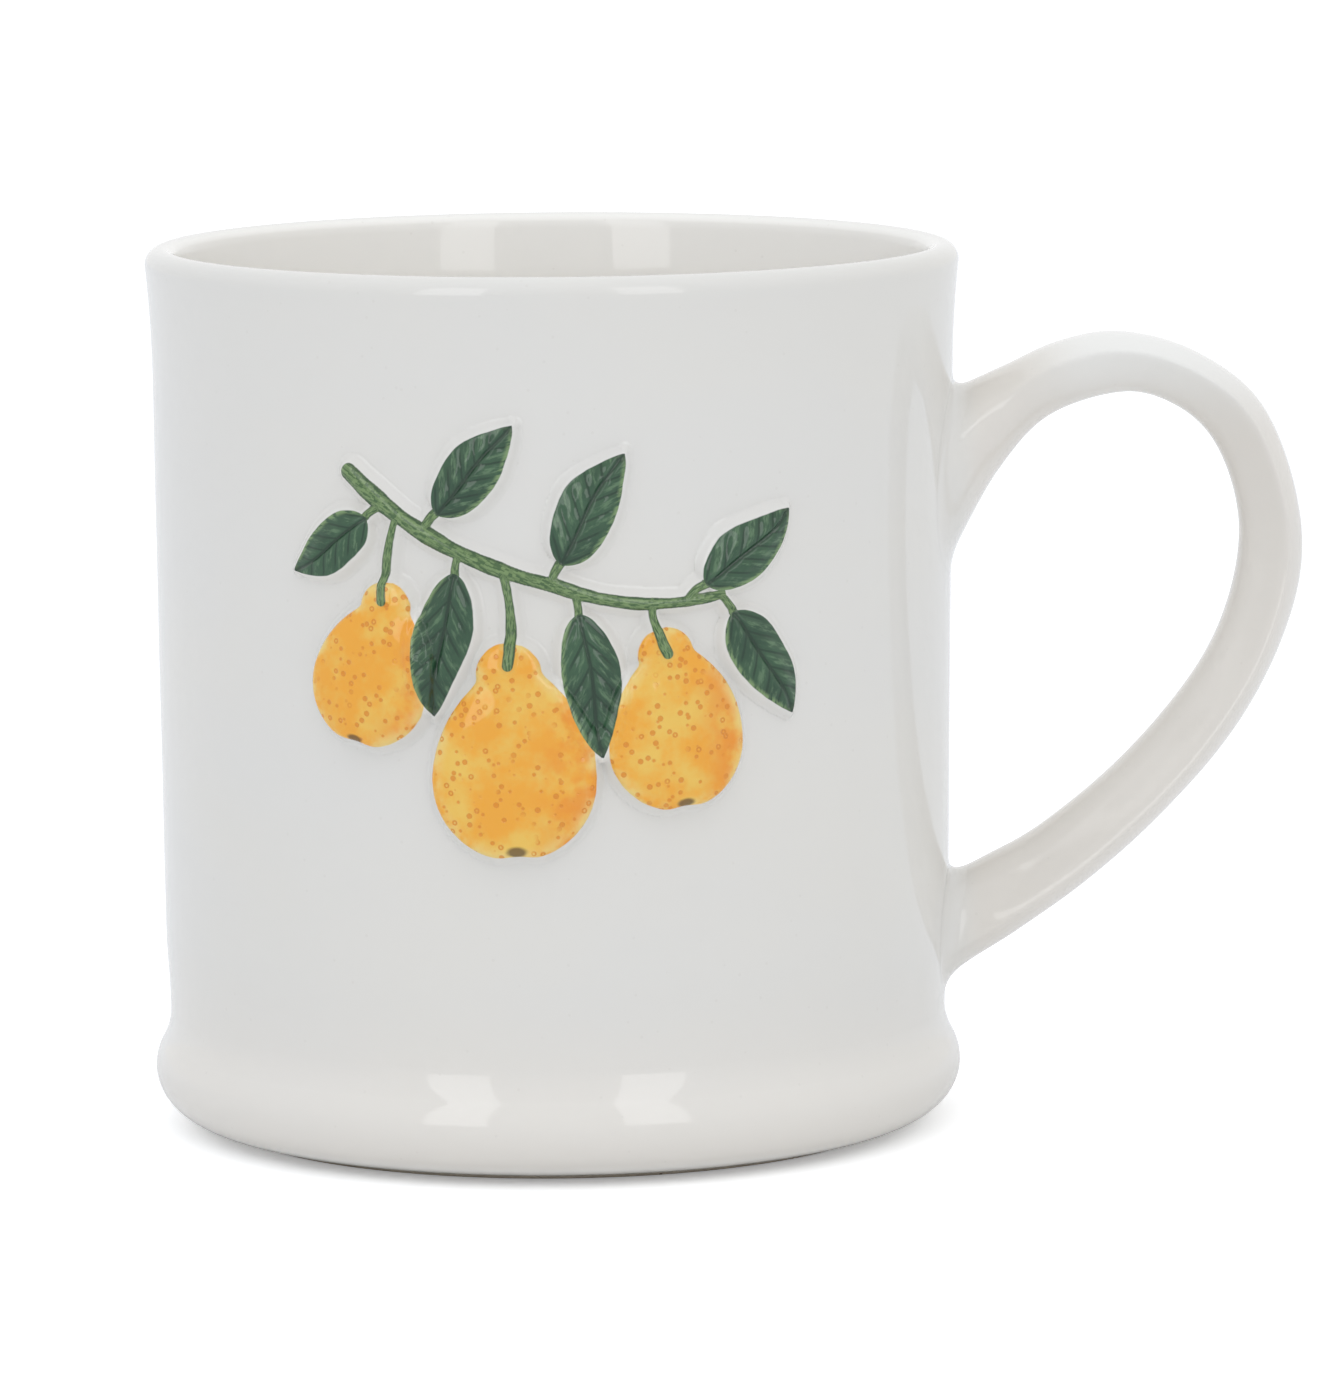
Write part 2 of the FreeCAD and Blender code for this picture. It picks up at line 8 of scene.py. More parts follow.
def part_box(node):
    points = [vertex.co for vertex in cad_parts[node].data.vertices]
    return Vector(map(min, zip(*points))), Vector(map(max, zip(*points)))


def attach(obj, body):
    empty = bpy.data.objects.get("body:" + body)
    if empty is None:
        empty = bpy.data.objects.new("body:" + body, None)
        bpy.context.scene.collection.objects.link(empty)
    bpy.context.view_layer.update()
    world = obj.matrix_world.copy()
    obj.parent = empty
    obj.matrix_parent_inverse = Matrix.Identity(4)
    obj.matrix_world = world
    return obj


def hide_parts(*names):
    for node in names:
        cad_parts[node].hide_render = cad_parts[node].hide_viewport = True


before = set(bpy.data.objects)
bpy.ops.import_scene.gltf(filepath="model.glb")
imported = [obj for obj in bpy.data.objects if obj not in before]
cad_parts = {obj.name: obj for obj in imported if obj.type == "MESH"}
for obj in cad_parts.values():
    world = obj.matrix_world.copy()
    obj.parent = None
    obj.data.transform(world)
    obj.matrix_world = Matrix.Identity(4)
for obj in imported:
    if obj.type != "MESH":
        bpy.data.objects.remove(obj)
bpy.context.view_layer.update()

MM = 0.001

# The cup's profile, read from the frame where the frame shows it
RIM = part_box("cup")[1].y / MM
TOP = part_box("cup")[1].z / MM
GLAZE_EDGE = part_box("cup")[0].z / MM
LIP = 3.5
FLARE_DROP = 13.0
FLARE_GROWTH = 0.65
WAIST_INSET = 1.3
WAIST_UP = 12.35
NECK = 0.35
NECK_TALL = 9.0
BAND_SWELL = 1.25
BAND_ROUND = 5.6
BAND_UNDER = 6.5
INSIDE_FLARE = 0.7
INSIDE_TAPER = 2.0
INSIDE_CORNER = 9.0
FLOOR_UP = 6.0
FOOT_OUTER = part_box("foot_ring")[1].y / MM
FOOT_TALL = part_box("foot_ring")[1].z / MM
FOOT_WIDTH = 3.5
FOOT_BEVEL = 0.4
FOOT_SINK = 0.02
EDGE_ROUND = 0.3
WAIST = RIM - WAIST_INSET
FLARE_R = RIM - FLARE_GROWTH
FLARE_UP = TOP - FLARE_DROP
HALF = TOP / 2
UNEVEN = 0.02
UNEVEN_SET_IN = 0.03

# Handle stations: outer edge and inner edge (out from the rim's radius, up
# from half height), width and how ridged the strap is, from the upper root
# round to the lower one
HANDLE = [
    (-1.6, 30.4, -2.6, 10.2, 21.4, 0.0),
    (0.3, 31.35, -0.3, 14.7, 18.2, 0.0),
    (4.6, 33.4, 4.1, 22.35, 13.4, 0.3),
    (10.6, 36.1, 9.4, 28.15, 11.6, 0.6),
    (17.3, 37.0, 17.3, 30.55, 11.2, 0.8),
    (24.9, 34.9, 22.7, 29.15, 11.2, 0.9),
    (32.0, 29.35, 26.9, 25.2, 11.2, 1.0),
    (36.35, 16.25, 29.6, 16.15, 11.2, 1.0),
    (34.2, 4.05, 27.75, 6.45, 11.4, 1.0),
    (26.6, -8.75, 21.0, -4.35, 11.8, 1.0),
    (13.5, -21.55, 8.6, -15.7, 12.4, 1.0),
    (6.5, -26.55, 2.7, -19.0, 12.9, 1.0),
    (0.8, -30.15, -1.2, -20.8, 14.2, 0.5),
    (-1.7, -32.1, -2.6, -21.0, 15.4, 0.0),
]

# Leaves: foot (across the wall from the front, up from half height), turn of
# the tip from upright, length, and how far each side bellies out
LEAVES = {
    "leaf_top_left": (-11.1, 22.75, -38.0, 12.0, 2.6, 3.2),
    "leaf_top": (1.2, 17.75, -28.0, 13.0, 3.4, 2.8),
    "leaf_top_right": (15.7, 15.25, -52.0, 12.0, 2.7, 3.4),
    "leaf_right": (18.6, 12.35, -148.0, 13.0, 3.4, 2.7),
    "leaf_middle": (2.9, 12.75, -171.0, 15.0, 3.2, 2.8),
    "leaf_inner_left": (-9.3, 16.85, 171.0, 15.0, 2.6, 3.2),
    "leaf_left": (-18.5, 22.25, 125.0, 10.5, 3.0, 2.4),
}

# Pears: middle of the belly, lean from upright, belly and neck radius, span
PEARS = {
    "pear_large": (-3.6, -4.35, 2.0, 8.2, 3.3, 11.0),
    "pear_right": (12.6, -0.75, 7.0, 7.0, 2.9, 9.2),
    "pear_left": (-18.4, 5.05, -14.0, 6.4, 2.7, 8.4),
}

# Stems: both ends, bow of the middle to the left of the way, width at each end
STEMS = [
    (-20.4, 26.85, 0.6, 15.65, -1.6, 2.1, 1.6),
    (0.6, 15.65, 17.4, 14.25, -1.3, 1.6, 1.2),
    (-4.6, 17.25, -4.0, 7.6, 0.5, 1.0, 1.3),
    (10.2, 13.85, 11.4, 8.6, -0.3, 0.9, 1.2),
    (-15.2, 22.85, -16.4, 13.9, -0.5, 0.9, 1.2),
    (-12.6, 20.9, -11.0, 23.1, 0.2, 0.9, 1.1),
    (0.2, 15.7, 1.3, 18.1, 0.2, 0.9, 1.1),
    (13.9, 13.9, 15.9, 15.5, 0.2, 0.9, 1.1),
    (17.2, 14.2, 18.8, 12.1, 0.2, 0.9, 1.1),
    (2.5, 14.9, 2.9, 12.3, 0.1, 0.9, 1.1),
    (-8.9, 19.3, -9.3, 16.4, -0.1, 0.9, 1.1),
    (-16.7, 23.6, -18.9, 22.0, -0.2, 0.9, 1.1),
]

GRID_STEP = 0.18
SPRIG_ACROSS = (-31.0, 29.0)
SPRIG_UP = (-17.0, 34.0)
SPRIG_BACK = -0.6
SPRIG_PROUD = 0.012
VEIN_PAIRS = 5.5
VEIN_SWEEP = 0.55


# Surfaces and meshes

def undulation(angle, up):
    """The hand-made unevenness of the cup's radius, which fades out towards the base band."""
    slow = np.sin(2 * angle + 0.035 * up + 0.7) + 0.6 * np.sin(3 * angle - 0.05 * up + 2.1)
    fine = 0.35 * np.sin(7 * angle + 0.11 * up) + 0.4 * np.sin(0.33 * up + 2 * np.sin(angle))
    return (UNEVEN * (slow + fine) - UNEVEN_SET_IN) * np.clip((up - 6.0) / 10.0, 0.1, 1.0)


def wall_line(up):
    """Radius of the tapering outer wall, drawn in a little just above the base band."""
    rise = np.clip((up - WAIST_UP) / NECK_TALL, 0, 1)
    drawn_in = NECK * (1 - rise * rise * (3 - 2 * rise))
    return WAIST + (FLARE_R - WAIST) * (up - WAIST_UP) / (FLARE_UP - WAIST_UP) - drawn_in


def wall_radius(angle, up):
    """Radius of the wall as it was thrown, not quite true."""
    return wall_line(up) + undulation(angle, up)


def on_wall(across, up, proud=0.0):
    """Places on the wall: across is measured round it from the front."""
    angle = across / WAIST
    radius = wall_radius(angle, up) + proud
    return np.stack([radius * np.sin(angle), -radius * np.cos(angle), up + 0 * angle], -1)


def arc(r, up, radius, start, end, count):
    """Points of an arc in a profile, without its last one."""
    turn = np.radians(start + (end - start) * np.arange(count) / count)
    return [(r + radius * math.cos(t), up + radius * math.sin(t)) for t in turn]


def run(r1, up1, r2, up2, count):
    """Points of a straight stretch of a profile, without its last one."""
    return [(r1 + (r2 - r1) * k / count, up1 + (up2 - up1) * k / count) for k in range(count)]


def piece(name, points, faces, material, nodes, sharp=None, normals=None, layers=None):
    """A mesh piece in the frame, which stands for some CAD nodes."""
    mesh = bpy.data.meshes.new(name)
    mesh.from_pydata((np.asarray(points) * MM).tolist(), [], faces)
    mesh.polygons.foreach_set("use_smooth", [True] * len(mesh.polygons))
    if sharp:
        marked = {tuple(sorted(pair)) for pair in sharp}
        for edge in mesh.edges:
            edge.use_edge_sharp = tuple(sorted(edge.vertices)) in marked
    for layer, values in (layers or {}).items():
        mesh.attributes.new(layer, "FLOAT_COLOR", "POINT").data.foreach_set(
            "color", np.asarray(values, np.float32).ravel())
    if normals is not None:
        mesh.normals_split_custom_set(normals)
    mesh.materials.append(material)
    mesh.update()
    made = bpy.data.objects.new(name, mesh)
    bpy.context.scene.collection.objects.link(made)
    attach(made, "root")
    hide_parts(*nodes)
    return made


def turned_out(points, faces):
    """The faces of a closed piece, all turned to face outwards."""
    volume = 0.0
    for face in faces:
        fan = points[face]
        volume += np.cross(fan[1:-1], fan[2:]).dot(fan[0]).sum()
    return faces if volume > 0 else [face[::-1] for face in faces]


def lathe(profile, steps, wobble):
    """Points and faces of a turned piece: a closed outline, or one from axis to axis."""
    points, rings = [], []
    for r, up in profile:
        if r < 1e-6:
            rings.append([len(points)] * steps)
            points.append((0, 0, up))
            continue
        angle = 2 * math.pi * np.arange(steps) / steps
        radius = r + wobble(angle, up, r)
        rings.append(list(range(len(points), len(points) + steps)))
        points += np.stack([radius * np.sin(angle), -radius * np.cos(angle), up + 0 * angle], -1).tolist()
    closed = profile[0][0] > 1e-6
    faces = []
    pairs = list(zip(rings, rings[1:])) + ([(rings[-1], rings[0])] if closed else [])
    for low, high in pairs:
        for k in range(steps):
            n = (k + 1) % steps
            face = [low[k], low[n], high[n], high[k]]
            faces.append([v for i, v in enumerate(face) if v not in face[:i]])
    return np.array(points, float), faces


# Materials

class Nodes:
    """Short ways to add nodes to a material."""

    def __init__(self, name):
        self.material = bpy.data.materials.new(name)
        self.material.use_nodes = True
        self.tree = self.material.node_tree
        self.shader = self.tree.nodes["Principled BSDF"]

    def add(self, kind, **settings):
        node = self.tree.nodes.new("ShaderNode" + kind)
        for key, value in settings.items():
            setattr(node, key, value)
        return node

    def put(self, socket, value):
        if isinstance(value, (int, float)):
            socket.default_value = value
        elif isinstance(value, tuple):
            socket.default_value = value if len(value) == len(socket.default_value) else (*value, 1.0)
        else:
            self.tree.links.new(value, socket)

    def math(self, operation, first, second=0.0):
        node = self.add("Math", operation=operation)
        self.put(node.inputs[0], first)
        self.put(node.inputs[1], second)
        return node.outputs[0]

    def ramp(self, value, low, high):
        """0 below low, 1 above high, smooth between."""
        node = self.add("MapRange", interpolation_type="SMOOTHSTEP")
        self.put(node.inputs["Value"], value)
        self.put(node.inputs["From Min"], low)
        self.put(node.inputs["From Max"], high)
        return node.outputs[0]

    def mix(self, amount, first, second):
        node = self.add("Mix", data_type="RGBA")
        self.put(node.inputs[0], amount)
        self.put(node.inputs[6], first)
        self.put(node.inputs[7], second)
        return node.outputs[2]

    def coordinates(self, stretch=(1.0, 1.0, 1.0)):
        node = self.add("Mapping")
        self.put(node.inputs["Vector"], self.add("TexCoord").outputs["Object"])
        self.put(node.inputs["Scale"], stretch)
        return node.outputs[0]

    def noise(self, vector, scale, detail=2.0, rough=0.5):
        node = self.add("TexNoise")
        self.put(node.inputs["Vector"], vector)
        self.put(node.inputs["Scale"], scale)
        self.put(node.inputs["Detail"], detail)
        self.put(node.inputs["Roughness"], rough)
        return node.outputs["Fac"]

    def cells(self, vector, scale):
        node = self.add("TexVoronoi")
        self.put(node.inputs["Vector"], vector)
        self.put(node.inputs["Scale"], scale)
        return node.outputs["Distance"], node.outputs["Color"]

    def combine(self, x, y, z=0.0):
        node = self.add("CombineXYZ")
        for socket, value in zip(node.inputs, (x, y, z)):
            self.put(socket, value)
        return node.outputs[0]

    def bump(self, height, distance):
        node = self.add("Bump")
        self.put(node.inputs["Height"], height)
        self.put(node.inputs["Distance"], distance)
        self.put(self.shader.inputs["Normal"], node.outputs[0])

    def glaze(self, colour):
        self.put(self.shader.inputs["Base Color"], colour)
        self.put(self.shader.inputs["Roughness"], GLAZE_ROUGH)
        self.put(self.shader.inputs["IOR"], GLAZE_IOR)


GLAZE = (0.765, 0.744, 0.698)
# Painted light: a warmer, lighter glaze on the base band, standing in for warm light bounced up from the
# floor
GLAZE_PAINTED_BOUNCE = (0.815, 0.775, 0.715)
GLAZE_COOL = (0.750, 0.738, 0.710)
# Painted light: a whiter glaze inside the cup, standing in for the light that falls into it
GLAZE_PAINTED_INSIDE_LIGHT = (0.930, 0.905, 0.855)
# Painted shade: a browner glaze on the handle strap; the next, paler tone is painted light along the strap's
# top
GLAZE_STRAP_PAINTED_SHADE = (0.770, 0.732, 0.676)
GLAZE_CREST_PAINTED_LIGHT = (0.835, 0.822, 0.785)
SPECK = (0.52, 0.48, 0.42)
GLAZE_ROUGH = 0.042
GLAZE_IOR = 1.5

# Where those tones fade into each other, in metres
PAINTED_BOUNCE_UP = (0.004, 0.022)
PAINTED_INSIDE_LIGHT_OUT = (0.0413, 0.0400)
STRAP_SHADE_AND_LIGHT_OUT = (0.0422, 0.0455)
CREST_PAINTED_LIGHT_UP = (0.0720, 0.0830)
CREST_PAINTED_LIGHT_OUT = (0.0480, 0.0570)


def white_colour(nodes):
    """Cream-white glaze with faint cloudy drifts of tone.

    It is warmer and lighter low down, painted warm light bounced up from the floor, and whiter inside,
    painted light falling into the cup; it is browner on the strap, painted shade, and paler along the strap's
    top, painted light from above.
    """
    place = nodes.coordinates((1.0, 1.0, 1.7))
    drift = nodes.ramp(nodes.noise(place, 26.0, 3.0), 0.35, 0.68)
    colour = nodes.mix(nodes.math("MULTIPLY", drift, 0.55), GLAZE, GLAZE_COOL)
    up = nodes.add("SeparateXYZ")
    nodes.put(up.inputs[0], nodes.coordinates())
    # Painted warm light bounced up from the floor, low on the base band
    low = nodes.math("SUBTRACT", 1.0, nodes.ramp(up.outputs["Z"], *PAINTED_BOUNCE_UP))
    colour = nodes.mix(nodes.math("MULTIPLY", low, 0.75), colour, GLAZE_PAINTED_BOUNCE)
    outwards = nodes.add("VectorMath", operation="LENGTH")
    nodes.put(outwards.inputs[0], nodes.combine(up.outputs["X"], up.outputs["Y"]))
    # Painted light inside the cup: whiter within the inner radius
    colour = nodes.mix(nodes.ramp(outwards.outputs["Value"], *PAINTED_INSIDE_LIGHT_OUT), colour, GLAZE_PAINTED_INSIDE_LIGHT)
    # Painted shade on the handle strap, with painted light along its upward-facing top
    crest_painted_light = nodes.math("MULTIPLY", nodes.ramp(up.outputs["Z"], *CREST_PAINTED_LIGHT_UP),
                       nodes.ramp(up.outputs["X"], *CREST_PAINTED_LIGHT_OUT))
    strap = nodes.mix(crest_painted_light, GLAZE_STRAP_PAINTED_SHADE, GLAZE_CREST_PAINTED_LIGHT)
    colour = nodes.mix(nodes.ramp(up.outputs["X"], *STRAP_SHADE_AND_LIGHT_OUT), colour, strap)
    specks, _ = nodes.cells(nodes.coordinates(), 430.0)
    speck = nodes.math("MULTIPLY", nodes.math("LESS_THAN", specks, 0.07), 0.10)
    return nodes.mix(speck, colour, SPECK)


def glaze_height(nodes):
    """The slow waviness of a poured glaze."""
    return nodes.noise(nodes.coordinates(), 95.0, 1.0)


def make_white():
    nodes = Nodes("white_glaze")
    nodes.glaze(white_colour(nodes))
    nodes.bump(glaze_height(nodes), 0.00006)
    return nodes.material


def make_bare():
    """Bare fired stoneware: buff, matt and gritty."""
    nodes = Nodes("bare_stoneware")
    place = nodes.coordinates()
    grain = nodes.noise(place, 900.0, 6.0, 0.7)
    blotch = nodes.noise(place, 90.0, 3.0)
    colour = nodes.mix(blotch, (0.56, 0.47, 0.37), (0.66, 0.59, 0.49))
    distance, _ = nodes.cells(place, 700.0)
    colour = nodes.mix(nodes.math("LESS_THAN", distance, 0.13), colour, (0.33, 0.25, 0.18))
    nodes.put(nodes.shader.inputs["Base Color"], colour)
    nodes.put(nodes.shader.inputs["Roughness"], 0.85)
    nodes.bump(grain, 0.00025)
    return nodes.material


def layer(nodes, name):
    """What a painted layer holds at each place.

    That is the distance in from the outline in millimetres, the places along
    and across the leaf, fruit or stem, and a seed.
    """
    stored = nodes.add("Attribute", attribute_name=name)
    split = nodes.add("SeparateColor")
    nodes.put(split.inputs[0], stored.outputs["Color"])
    across = nodes.math("SUBTRACT", split.outputs["Blue"], 0.5)
    return split.outputs["Red"], split.outputs["Green"], across, stored.outputs["Alpha"]


def edge_of(nodes, inside, ragged):
    """1 inside a painted outline and 0 outside it, with a slightly uneven brushed edge."""
    return nodes.ramp(nodes.math("ADD", inside, nodes.math("MULTIPLY", ragged, 0.16)), 0.02, 0.13)


def leaf_colour(nodes, wash):
    """Dark brushed green, lighter between the side veins, pale along the edges and dark at the tip."""
    inside, along, across, seed = layer(nodes, "leaf")
    side = nodes.math("ABSOLUTE", across)
    sweep = nodes.math("SUBTRACT", along, nodes.math("MULTIPLY", side, VEIN_SWEEP))
    stroke = nodes.combine(nodes.math("MULTIPLY", sweep, 9.0), nodes.math("MULTIPLY", across, 3.0), seed)
    brush = nodes.noise(stroke, 2.2, 3.0, 0.6)
    wander = nodes.math("MULTIPLY", nodes.math("SUBTRACT", wash, 0.5), 1.6)
    phase = nodes.math("MULTIPLY", sweep, 2 * math.pi * VEIN_PAIRS)
    vein = nodes.math("COSINE", nodes.math("ADD", phase, wander))
    puffed = nodes.math("MULTIPLY", nodes.ramp(vein, 0.35, -0.7), nodes.ramp(side, 0.03, 0.13))
    light = nodes.math("MULTIPLY", puffed, nodes.ramp(brush, 0.42, 0.66))
    colour = nodes.mix(nodes.ramp(wash, 0.35, 0.7), (0.024, 0.070, 0.036), (0.040, 0.105, 0.052))
    colour = nodes.mix(nodes.math("MULTIPLY", light, 0.8), colour, (0.120, 0.215, 0.115))
    lines = nodes.math("MULTIPLY", nodes.ramp(vein, 0.78, 0.99), nodes.ramp(side, 0.40, 0.28))
    lines = nodes.math("MAXIMUM", nodes.math("MULTIPLY", lines, 0.9), nodes.ramp(side, 0.045, 0.015))
    colour = nodes.mix(nodes.math("MULTIPLY", lines, 0.8), colour, (0.012, 0.040, 0.020))
    pale = nodes.math("MULTIPLY", nodes.ramp(inside, 0.62, 0.18), nodes.ramp(brush, 0.36, 0.56))
    pale = nodes.math("MULTIPLY", pale, nodes.ramp(across, -0.25, 0.35))
    colour = nodes.mix(nodes.math("MULTIPLY", pale, 0.85), colour, (0.215, 0.330, 0.140))
    tip = nodes.math("MULTIPLY", nodes.ramp(along, 0.90, 1.0), 0.8)
    return nodes.mix(tip, colour, (0.016, 0.040, 0.024)), inside


def stem_colour(nodes):
    """Mid green with dark sides and pale streaks along it."""
    inside, along, across, _ = layer(nodes, "stem")
    place = nodes.combine(nodes.math("MULTIPLY", along, 6.0), nodes.math("MULTIPLY", across, 3.5))
    streak = nodes.noise(place, 2.0, 2.0)
    colour = nodes.mix(nodes.ramp(streak, 0.38, 0.62), (0.062, 0.130, 0.045), (0.190, 0.290, 0.115))
    side = nodes.ramp(nodes.math("ABSOLUTE", across), 0.24, 0.44)
    return nodes.mix(nodes.math("MULTIPLY", side, 0.75), colour, (0.024, 0.062, 0.026)), inside


def pear_colour(nodes, wash):
    """Yellow to orange washes, pale at the rim, with ringed pores and a dark calyx.

    It also gives how deep the pores are.
    """
    inside, along, across, _ = layer(nodes, "fruit")
    place = nodes.coordinates()
    blotch = nodes.noise(place, 330.0, 3.0, 0.6)
    colour = nodes.mix(nodes.ramp(wash, 0.36, 0.62), (0.860, 0.545, 0.100), (0.885, 0.400, 0.035))
    deep = nodes.math("MULTIPLY", nodes.ramp(across, 0.05, 0.42), nodes.ramp(blotch, 0.35, 0.6))
    colour = nodes.mix(nodes.math("MULTIPLY", deep, 0.75), colour, (0.840, 0.260, 0.020))
    pale = nodes.math("MULTIPLY", nodes.ramp(inside, 1.6, 0.1), nodes.ramp(wash, 0.60, 0.42))
    colour = nodes.mix(nodes.math("MULTIPLY", pale, 0.8), colour, (0.850, 0.650, 0.230))
    near, tint = nodes.cells(place, 980.0)
    gate = nodes.ramp(nodes.noise(place, 260.0, 1.0), 0.32, 0.48)
    ring = nodes.math("MULTIPLY", nodes.ramp(near, 0.08, 0.17), nodes.ramp(near, 0.33, 0.24))
    dot = nodes.math("MULTIPLY", nodes.ramp(near, 0.24, 0.12), nodes.math("GREATER_THAN", tint, 0.5))
    pores = nodes.math("MULTIPLY", nodes.math("MAXIMUM", ring, dot), gate)
    colour = nodes.mix(nodes.math("MULTIPLY", pores, 0.80), colour, (0.730, 0.245, 0.015))
    calyx = nodes.add("VectorMath", operation="LENGTH")
    low = nodes.math("SUBTRACT", along, 0.045)
    rough = nodes.math("MULTIPLY", nodes.math("SUBTRACT", blotch, 0.5), 2.5)
    nodes.put(calyx.inputs[0], nodes.combine(nodes.math("MULTIPLY", across, 13.0),
                                             nodes.math("MULTIPLY", low, 32.0), rough))
    dark = nodes.ramp(calyx.outputs["Value"], 1.05, 0.55)
    return nodes.mix(nodes.math("MULTIPLY", dark, 0.85), colour, (0.110, 0.062, 0.020)), inside, pores


def make_painted(name):
    """The sprig's glaze: fruit, stems and leaves painted over each other within their outlines, on white."""
    nodes = Nodes(name)
    wash = nodes.noise(nodes.coordinates(), 190.0, 4.0, 0.6)
    ragged = nodes.math("SUBTRACT", nodes.noise(nodes.coordinates(), 700.0, 1.0), 0.5)
    fruit, inside, pores = pear_colour(nodes, wash)
    painted = edge_of(nodes, inside, ragged)
    colour = nodes.mix(painted, white_colour(nodes), fruit)
    for tint, inside in (stem_colour(nodes), leaf_colour(nodes, wash)):
        colour = nodes.mix(edge_of(nodes, inside, ragged), colour, tint)
    nodes.glaze(colour)
    pits = nodes.math("MULTIPLY", nodes.math("MULTIPLY", pores, painted), -0.5)
    nodes.bump(nodes.math("ADD", glaze_height(nodes), pits), 0.00009)
    return nodes.material


WHITE, BARE = make_white(), make_bare()
GREEN, YELLOW = make_painted("green_underglaze"), make_painted("yellow_underglaze")


# Cup and foot ring

CUP_STEPS = 288
RING_STEPS = 192


def cup_profile():
    """The outline of the turned cup, from the axis under it round to the axis inside."""
    band = WAIST + BAND_SWELL
    neck = WAIST - NECK
    swell = band - neck
    rise = WAIST_UP - GLAZE_EDGE - BAND_ROUND
    cove = (rise ** 2 + swell ** 2) / (2 * swell) - BAND_ROUND
    turn = math.degrees(math.asin(rise / (BAND_ROUND + cove)))
    lip, lip_end = LIP / 2, 150
    mouth, bottom = RIM - LIP, RIM - LIP - INSIDE_TAPER
    outline = run(0, FOOT_TALL, FOOT_OUTER, FOOT_TALL, 14)
    outline += run(FOOT_OUTER, FOOT_TALL, FOOT_OUTER, GLAZE_EDGE + EDGE_ROUND, 3)
    outline += arc(FOOT_OUTER + EDGE_ROUND, GLAZE_EDGE + EDGE_ROUND, EDGE_ROUND, 180, 270, 4)
    under = arc(band - BAND_ROUND, GLAZE_EDGE + BAND_ROUND, BAND_ROUND, -88, 0, 26)
    outline += [(band - (band - r) * BAND_UNDER / BAND_ROUND, up) for r, up in under]
    outline += arc(band - BAND_ROUND, GLAZE_EDGE + BAND_ROUND, BAND_ROUND, 0, turn, 14)
    outline += arc(neck + cove, WAIST_UP, cove, 180 + turn, 180, 18)
    outline += [(float(wall_line(up)), float(up)) for up in np.linspace(WAIST_UP, FLARE_UP, 61)[:-1]]
    for k in range(16):
        step = k / 16
        outline.append((FLARE_R + (RIM - FLARE_R) * (0.2 * step + 0.8 * step ** 2),
                        FLARE_UP + (TOP - lip - FLARE_UP) * step))
    outline += arc(RIM - lip, TOP - lip, lip, 0, lip_end, 18)
    inner_top = arc(RIM - lip, TOP - lip, lip, lip_end, 0, 1)[0]
    throat = mouth - INSIDE_FLARE
    for k in range(16):
        step = k / 16
        outline.append((throat + (inner_top[0] - throat) * (1 - step) ** 2,
                        inner_top[1] + (FLARE_UP - inner_top[1]) * step))
    outline += run(throat, FLARE_UP, bottom, FLOOR_UP + INSIDE_CORNER, 30)
    outline += arc(bottom - INSIDE_CORNER, FLOOR_UP + INSIDE_CORNER, INSIDE_CORNER, 0, -90, 14)
    outline += run(bottom - INSIDE_CORNER, FLOOR_UP, 0, FLOOR_UP, 10)
    outline.append((0, FLOOR_UP))
    return outline


def cup_wobble(angle, up, r):
    """The cup's unevenness, which fades out at the foot and towards the axis."""
    return undulation(angle, up) * min(1.0, r / FOOT_OUTER) ** 4 * min(1.0, max(0.0, (up - 2.0) / 3.0))


def make_cup():
    points, faces = lathe(cup_profile(), CUP_STEPS, cup_wobble)
    return piece("cup_body", points, faces, WHITE, ["cup"])


def make_foot_ring():
    """The bare ring, worn a little at its edges."""
    inner, outer = FOOT_OUTER - FOOT_WIDTH, FOOT_OUTER - FOOT_SINK
    top, bevel = FOOT_TALL - FOOT_SINK, FOOT_BEVEL
    outline = arc(outer - bevel, bevel, bevel, -90, 0, 5)
    outline += run(outer, bevel, outer, top, 4)
    outline += run(outer, top, inner, top, 4)
    outline += run(inner, top, inner, bevel, 4)
    outline += arc(inner + bevel, bevel, bevel, 180, 270, 5)
    outline += run(inner + bevel, 0, outer - bevel, 0, 6)
    points, faces = lathe(outline, RING_STEPS, lambda angle, up, r: 0 * angle)
    return piece("foot_ring_bare", points, faces, BARE, ["foot_ring"])


make_cup()
make_foot_ring()


# Handle

SWEEP_STEPS = 30
SECTION_STEPS = 112
JOINT_STEPS = 10
OVAL_POWER = 2.35
STRAP_WAVE = 0.05

# One side of the ridged section, from the outer face to the inner one: how far
# through the strap (1 is the outer edge, -1 the inner) and across it
RIDGE_GUIDE = [(1.0, 0.34), (0.82, 0.73), (0.55, 1.02), (0.42, 1.03),
               (-0.12, 0.80), (-0.84, 0.52), (-1.0, 0.24)]


